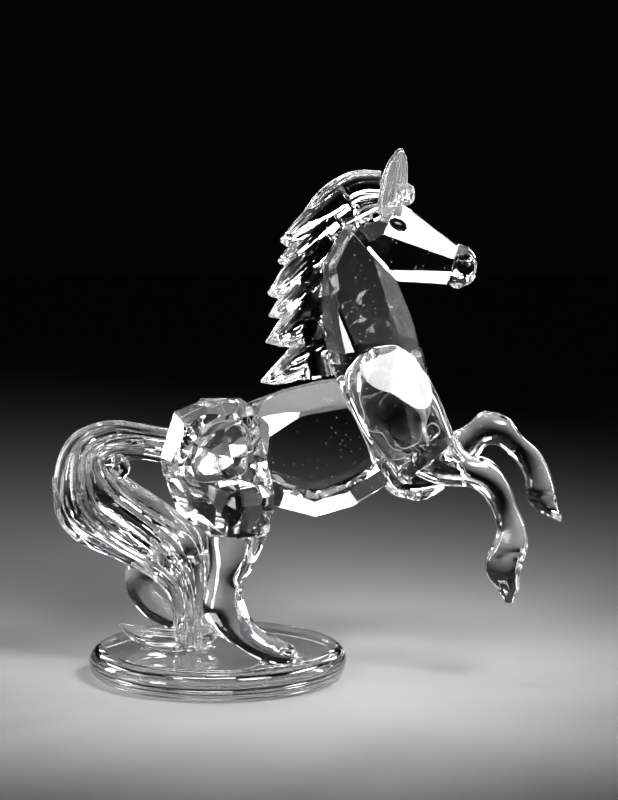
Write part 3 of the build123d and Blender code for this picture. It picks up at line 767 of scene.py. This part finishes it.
# Section of a pad from its centre out and back: share of the radius, and height
PAD_SECTION = (
    (0.05, PAD_LOW), (0.5, PAD_LOW), (0.97, PAD_LOW), (1.0, PAD_MIDDLE),
    (0.97, PAD_HIGH), (0.5, PAD_HIGH), (0.05, PAD_HIGH),
)
PAD_ROUGHNESS = 0.35
PAD_AROUND = 96


def pad_rings(half_a, half_b, seed, roughness=PAD_ROUGHNESS, count=PAD_AROUND):
    """Rings of a flat pad with a rounded, irregular rim, in its own plane."""
    turn, reach = outline(count, seed, roughness)
    rings = []
    for share, height in PAD_SECTION:
        rings.append(np.stack([
            half_a * share * reach * np.cos(turn), half_b * share * reach * np.sin(turn),
            np.full(count, height),
        ], 1))
    return rings


THREAD_STEPS = 26
THREAD_AROUND = 8


def thread_rings(a, b, size, curl, seed):
    """Rings of a thin curled string of adhesive, in the plane of the joint."""
    own = random.Random(seed)
    heading, rings = own.uniform(0, 6.28), []
    for step in range(THREAD_STEPS):
        heading += curl * (0.28 + 0.25 * math.sin(0.5 * step + own.random()))
        a, b = a + 0.16 * size * math.cos(heading), b + 0.16 * size * math.sin(heading)
        half = 0.11 * math.sin(math.pi * (step + 1) / (THREAD_STEPS + 1)) ** 0.5
        ring = []
        for turn in range(THREAD_AROUND):
            angle = 2 * math.pi * turn / THREAD_AROUND
            side = half * math.cos(angle)
            ring.append((
                a - side * math.sin(heading), b + side * math.cos(heading),
                PAD_MIDDLE + PAD_HALF * math.sin(angle),
            ))
        rings.append(ring)
    return rings


def lay(rings, origin, x_dir, z_dir):
    """Carry rings from the plane of a joint to their place."""
    z_axis = np.array(z_dir) / np.linalg.norm(z_dir)
    x_axis = np.array(x_dir) - np.dot(x_dir, z_axis) * z_axis
    x_axis /= np.linalg.norm(x_axis)
    frame_axes = np.stack([x_axis, np.cross(z_axis, x_axis), z_axis])
    return [np.array(origin) + np.array(ring) @ frame_axes for ring in rings]


def rim_thread(half_a, half_b, seed):
    """Closed thin line of adhesive along the outline of a pad, as rings that follow the outline."""
    turn, reach = outline(PAD_AROUND, seed, PAD_ROUGHNESS)
    rings = []
    for angle in np.linspace(0.0, 2 * math.pi, THREAD_AROUND, endpoint=False):
        out = 0.16 + 0.10 * math.cos(angle)
        height = PAD_MIDDLE + PAD_HALF * math.sin(angle)
        rings.append(np.stack([
            (half_a * reach + out) * np.cos(turn), (half_b * reach + out) * np.sin(turn),
            np.full(PAD_AROUND, height),
        ], 1))
    return rings


def bodies_piece(name, bodies, origin, x_dir, z_dir, closed=()):
    """One piece from several ring bodies laid in a joint; closed ones join their last ring to the first."""
    points, faces = [], []
    for number, rings in enumerate(bodies):
        placed = np.array(lay(rings, origin, x_dir, z_dir))
        rows, around = placed.shape[:2]
        start = len(points)
        if number in closed:
            for i in range(rows):
                here, there = start + i * around, start + (i + 1) % rows * around
                for j in range(around):
                    following = (j + 1) % around
                    faces.append((here + j, here + following, there + following, there + j))
            points += list(placed.reshape(-1, 3))
        else:
            faces += ring_faces(rows, around, start)
            points += list(placed.reshape(-1, 3)) + [placed[0].mean(0), placed[-1].mean(0)]
    return new_piece(name, points, faces)


def pad(node, origin, x_dir, z_dir, half_a, half_b, seed, extras=()):
    """Thin irregular layer of adhesive in a joint, with a pale rim, and drops and strings round it.

    Each extra is a place in the joint, a size, and a curl, which is 0 for a drop.
    """
    lines = [rim_thread(half_a, half_b, seed)]
    drops = [pad_rings(half_a, half_b, seed)]
    for a, b, size, curl in extras:
        if curl:
            lines.append(thread_rings(a, b, size, curl, seed + len(lines)))
        else:
            drop = pad_rings(size, size * 0.8, seed + len(drops), 0.2, 32)
            drops.append([np.array(ring) + (a, b, 0) for ring in drop])
    layer = bodies_piece(node.replace("film", "glue"), drops, origin, x_dir, z_dir)
    settle(layer, "clear_adhesive", node)
    strings = bodies_piece(node.replace("film", "glue_line"), lines, origin, x_dir, z_dir, closed=(0,))
    settle(strings, "clear_adhesive", material=bead_line)


def middle(first, second):
    """Point halfway along an edge in the middle plane."""
    return (first[0] + second[0]) / 2, 0.0, (first[1] + second[1]) / 2


HAUNCH_STRINGS = (
    (8.3, 2.4, 1.0, 1.0), (4.6, 8.2, 1.3, -1.0), (-6.8, 6.4, 0.8, 1.0), (7.6, -5.2, 0.7, 0),
    (-3.4, 8.4, 0.5, 0),
)
for side, name in ((-1, "near"), (1, "far")):
    centre = (0.6, side * TABLE, 53.2)
    pad(name + "_haunch_film", centre, (1, 0, 0), (0, side, 0), 7.5, 7.5, 3 + side, HAUNCH_STRINGS)
SHOULDER_STRINGS = ((-9.2, 3.0, 0.8, 1.0), (-8.6, -4.6, 1.1, -1.0), (9.4, 3.2, 0.6, 0))
near_lean, far_lean = (0.485, 0, -0.875), (0.25, 0, -0.97)
pad("near_shoulder_film", (40.5, -TABLE, 64.0), near_lean, (0, -1, 0), 9.5, 7.0, 21, SHOULDER_STRINGS)
pad("far_shoulder_film", (41.6, TABLE, 60.0), far_lean, (0, 1, 0), 8.5, 6.6, 22)

# The far haunch is the near one turned about its pivot and lowered, and its leg goes with it
HAUNCH_PIVOT = (0.5, 53.0)
FAR_HAUNCH_TURN = math.radians(24.0)
FAR_HAUNCH_DROP = 3.5
HIND_JOINT = (4.7, 35.6)
HIND_Y = 14.0
pad("near_hind_film", (HIND_JOINT[0], -HIND_Y, HIND_JOINT[1]), (1, 0, 0), (0, 0, -1), 6.4, 3.1, 23)
turn_cos, turn_sin = math.cos(FAR_HAUNCH_TURN), math.sin(FAR_HAUNCH_TURN)
dx, dz = HIND_JOINT[0] - HAUNCH_PIVOT[0], HIND_JOINT[1] - HAUNCH_PIVOT[1]
far_hip = (
    HAUNCH_PIVOT[0] + dx * turn_cos + dz * turn_sin, HIND_Y,
    HAUNCH_PIVOT[1] - dx * turn_sin + dz * turn_cos - FAR_HAUNCH_DROP,
)
pad("far_hind_film", far_hip, (turn_cos, 0, -turn_sin), (-turn_sin, 0, -turn_cos), 6.4, 3.1, 24)

FORE_LEAN = math.radians(43.0)
FORE_Y = 13.2
lean_cos, lean_sin = math.cos(FORE_LEAN), math.sin(FORE_LEAN)
near_fore = (49.85, -FORE_Y, 53.8)
pad("near_fore_film", near_fore, (lean_cos, 0, lean_sin), (lean_sin, 0, -lean_cos), 5.6, 2.3, 25)
pad("far_fore_film", (52.6, FORE_Y, 49.0), (0, 0, 1), (1, 0, 0), 4.4, 2.3, 26)


def facing(first, second):
    """Outward unit direction of an edge of a clockwise side-view outline."""
    dx, dz = second[0] - first[0], second[1] - first[1]
    return -dz / math.hypot(dx, dz), 0.0, dx / math.hypot(dx, dz)


# Joints along an edge of a stone: node, both ends of the edge, half sizes of the pad, seed
EDGE_JOINTS = (
    ("neck_film", (27.5, 69.0), (39.2, 45.3), 7.4, 8.6, 27),
    ("head_film", (29.5, 104.9), (40.9, 92.3), 3.6, 5.6, 28),
    ("muzzle_film", (54.8, 100.0), (52.4, 91.4), 3.0, 3.0, 29),
)
for node, first, second, half_a, half_b, seed in EDGE_JOINTS:
    pad(node, middle(first, second), (0, 1, 0), facing(first, second), half_a, half_b, seed)
pad("tail_film", (-7.0, 0, 53.4), (0, 1, 0), (-1, 0, 0), 3.0, 3.6, 30)


# Section of the adhesive round a foot, from its centre out and back: share of the radius, height
PUDDLE_SECTION = (
    (0.04, PAD_LOW), (0.6, PAD_LOW), (1.2, PAD_LOW), (1.24, 0.05), (1.2, 0.12), (1.12, 0.3), (1.05, 0.42),
    (1.0, 0.40), (0.96, 0.22), (0.93, PAD_HIGH), (0.5, PAD_HIGH), (0.04, PAD_HIGH),
)
PUDDLE_AROUND = 128


def puddle(node, x, y, half_a, half_b, seed):
    """Adhesive squeezed out round a foot: flat under it, a soft ridge outside it."""
    turn, reach = outline(PUDDLE_AROUND, seed, 0.25)
    rings = []
    for share, height in PUDDLE_SECTION:
        spread = 1.0 if share < 1.0 else reach
        rings.append(np.stack([
            x + half_a * share * spread * np.cos(turn), y + half_b * share * spread * np.sin(turn),
            np.full(PUDDLE_AROUND, BASE_TOP + height),
        ], 1))
    settle(ring_body(node.replace("bead", "puddle"), rings), "clear_adhesive", node)


puddle("near_hoof_bead", 15.0, -17.7, 5.2, 4.7, 41)
puddle("far_hoof_bead", -6.8, 16.3, 5.1, 4.6, 42)
puddle("tail_foot_bead", -9.3, -3.5, 7.6, 4.9, 43)

# ------------------------------------------------------------------ floor
# The floor lies just under the base, so that the two don't share a plane (metres)
FLOOR_REACH = 0.9
FLOOR_PLACE = (0.02, 0.0, -0.0002)
floor_mesh = bpy.data.meshes.new("floor")
floor_corners = [(x * FLOOR_REACH, y * FLOOR_REACH, 0) for x, y in ((-1, -1), (1, -1), (1, 1), (-1, 1))]
floor_mesh.from_pydata(floor_corners, [], [(0, 1, 2, 3)])
floor = bpy.data.objects.new("floor", floor_mesh)
bpy.context.scene.collection.objects.link(floor)
floor.location = FLOOR_PLACE
floor_material, _, floor_shader = new_material("floor")
floor_shader.inputs["Base Color"].default_value = (0.62, 0.62, 0.63, 1.0)
floor_shader.inputs["Roughness"].default_value = 0.7
floor_mesh.materials.append(floor_material)


# ------------------------------------------------------------------ light
def softbox(name, centre, target, size, radiance, spread):
    """Rectangular soft light behind a grid, which keeps its light within a cone.

    Places and sizes are in metres, and spread is the full angle of the cone in degrees.
    """
    data = bpy.data.lights.new(name, "AREA")
    data.shape = "RECTANGLE"
    data.size, data.size_y = size
    data.energy = radiance * math.pi * size[0] * size[1]
    data.spread = math.radians(spread)
    lamp = bpy.data.objects.new(name, data)
    bpy.context.scene.collection.objects.link(lamp)
    lamp.location = centre
    lamp.rotation_euler = (Vector(target) - Vector(centre)).to_track_quat("-Z", "Y").to_euler()
    lamp.visible_camera = False


# Place, target, size, radiance, spread. Key and fill shine in the facets of the near side, low and under in
# the facets that face down, and the three back lights draw the bright outlines.
NECK = (0.02, 0.0, 0.09)
LIGHTS = {
    "key": ((0.160, -0.185, 0.275), (0.03, 0.0, 0.07), (0.155, 0.10), 2.1, 50.0),
    "fill": ((-0.158, -0.180, 0.262), (0.01, 0.0, 0.06), (0.05, 0.05), 2.4, 50.0),
    "top": ((0.0, -0.02, 0.29), (0.02, 0.0, 0.06), (0.05, 0.05), 1.2, 50.0),
    "left": ((-0.195, 0.054, 0.113), NECK, (0.045, 0.17), 2.2, 50.0),
    "side": ((-0.150, -0.130, 0.068), (0.025, 0.0, 0.085), (0.05, 0.12), 2.2, 50.0),
    "right": ((0.25, 0.05, 0.13), NECK, (0.025, 0.16), 3.0, 50.0),
    "low": ((0.069, -0.048, 0.015), (0.052, -0.003, 0.091), (0.05, 0.034), 2.0, 50.0),
    "under": ((0.028, 0.018, 0.0085), (0.0281, 0.018, 0.1), (0.042, 0.03), 5.5, 110.0),
    "back": ((0.02, 0.29, 0.13), NECK, (0.10, 0.03), 1.0, 44.0),
    "back_left": ((-0.14, 0.24, 0.16), NECK, (0.04, 0.10), 1.6, 44.0),
    "back_right": ((0.18, 0.24, 0.16), NECK, (0.04, 0.10), 1.6, 44.0),
}
for name, settings in LIGHTS.items():
    softbox(name, *settings)

world = bpy.data.worlds.new("world")
bpy.context.scene.world = world
world.use_nodes = True
world.node_tree.nodes["Background"].inputs["Color"].default_value = (0.0012, 0.0012, 0.0013, 1.0)

# ------------------------------------------------------------------ camera
# Solved so that the outline of the horse and the ellipse of the base agree with the photograph
CAMERA_PLACE = (0.0210570, -0.7316509, 0.1683847)
CAMERA_PITCH = 8.09007
FOCAL_IN_WIDTHS = 3218.305 / 618.0
SENSOR = 36.0
camera_data = bpy.data.cameras.new("camera")
camera_data.sensor_fit = "HORIZONTAL"
camera_data.sensor_width = SENSOR
camera_data.lens = SENSOR * FOCAL_IN_WIDTHS
camera_data.clip_start = 0.01
camera_data.clip_end = 20.0
camera = bpy.data.objects.new("camera", camera_data)
bpy.context.scene.collection.objects.link(camera)
camera.location = CAMERA_PLACE
camera.rotation_euler = (math.radians(90.0 - CAMERA_PITCH), 0.0, 0.0)
bpy.context.scene.camera = camera

bpy.context.scene.view_settings.view_transform = "Standard"
bpy.context.scene.cycles.max_bounces = 24
bpy.context.scene.cycles.transmission_bounces = 24
bpy.context.scene.cycles.glossy_bounces = 12
